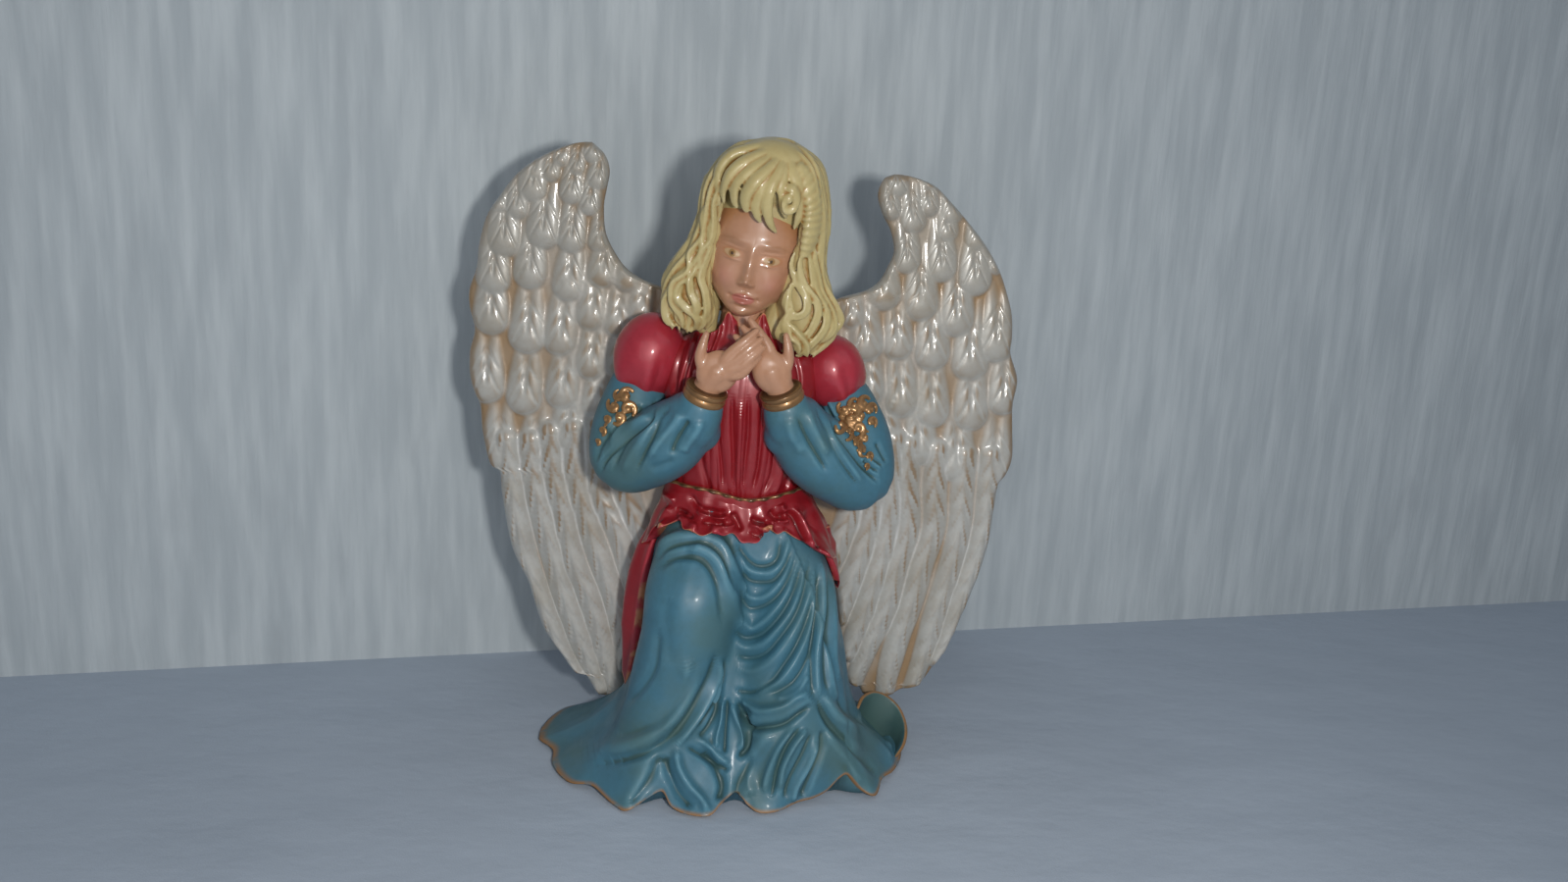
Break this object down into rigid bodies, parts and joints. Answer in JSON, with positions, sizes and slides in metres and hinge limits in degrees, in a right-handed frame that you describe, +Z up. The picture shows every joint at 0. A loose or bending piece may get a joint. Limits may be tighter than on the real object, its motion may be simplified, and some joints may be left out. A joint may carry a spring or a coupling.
{
  "type": "resin angel figurine",
  "caption": "Kneeling winged figurine with crossed hands, tall feathered wings and a flared gown, standing on a flat felted base.",
  "frame": {"origin": "on the resting face of the felt, under the middle of the figure", "axes": "+Z up, +Y to the back of the wings, the figure faces -Y, -X is the side with the raised knee"},
  "size_m": [0.2244, 0.1063, 0.2462],
  "materials": {
    "felt": "short-napped green felt",
    "board": "raw hardboard",
    "blue_paint": "satin teal-blue paint on cast resin, umber wash in the folds, clear glaze",
    "red_paint": "pearl crimson paint on cast resin, gold dry-brush on the ridges, clear glaze",
    "gold_paint": "antique gold paint on cast resin, rubbed bright on the high spots",
    "skin_paint": "glazed flesh paint on cast resin, rosy lips and tawny shading",
    "hair_paint": "straw-yellow paint on cast resin, ochre wash in the grooves, clear glaze",
    "pearl_paint": "pearl ivory paint on cast resin, brown wash between the feathers",
    "steel": "plain drawn wire"
  },
  "bodies": {
    "root": {"felt_pad": "felt", "base_board": "board", "skirt": "blue_paint", "left_overskirt": "red_paint", "right_overskirt": "red_paint", "peplum": "red_paint", "waist_cord": "gold_paint", "bodice": "red_paint", "left_puff": "red_paint", "right_puff": "red_paint", "left_sleeve": "blue_paint", "right_sleeve": "blue_paint", "left_ornament": "gold_paint", "right_ornament": "gold_paint", "left_cuff": "gold_paint", "right_cuff": "gold_paint", "left_hand": "skin_paint", "right_hand": "skin_paint", "head": "skin_paint", "hair": "hair_paint", "left_wing": "pearl_paint", "right_wing": "pearl_paint", "wing_dowels": "steel", "neck_dowel": "steel"}
  },
  "joints": []
}
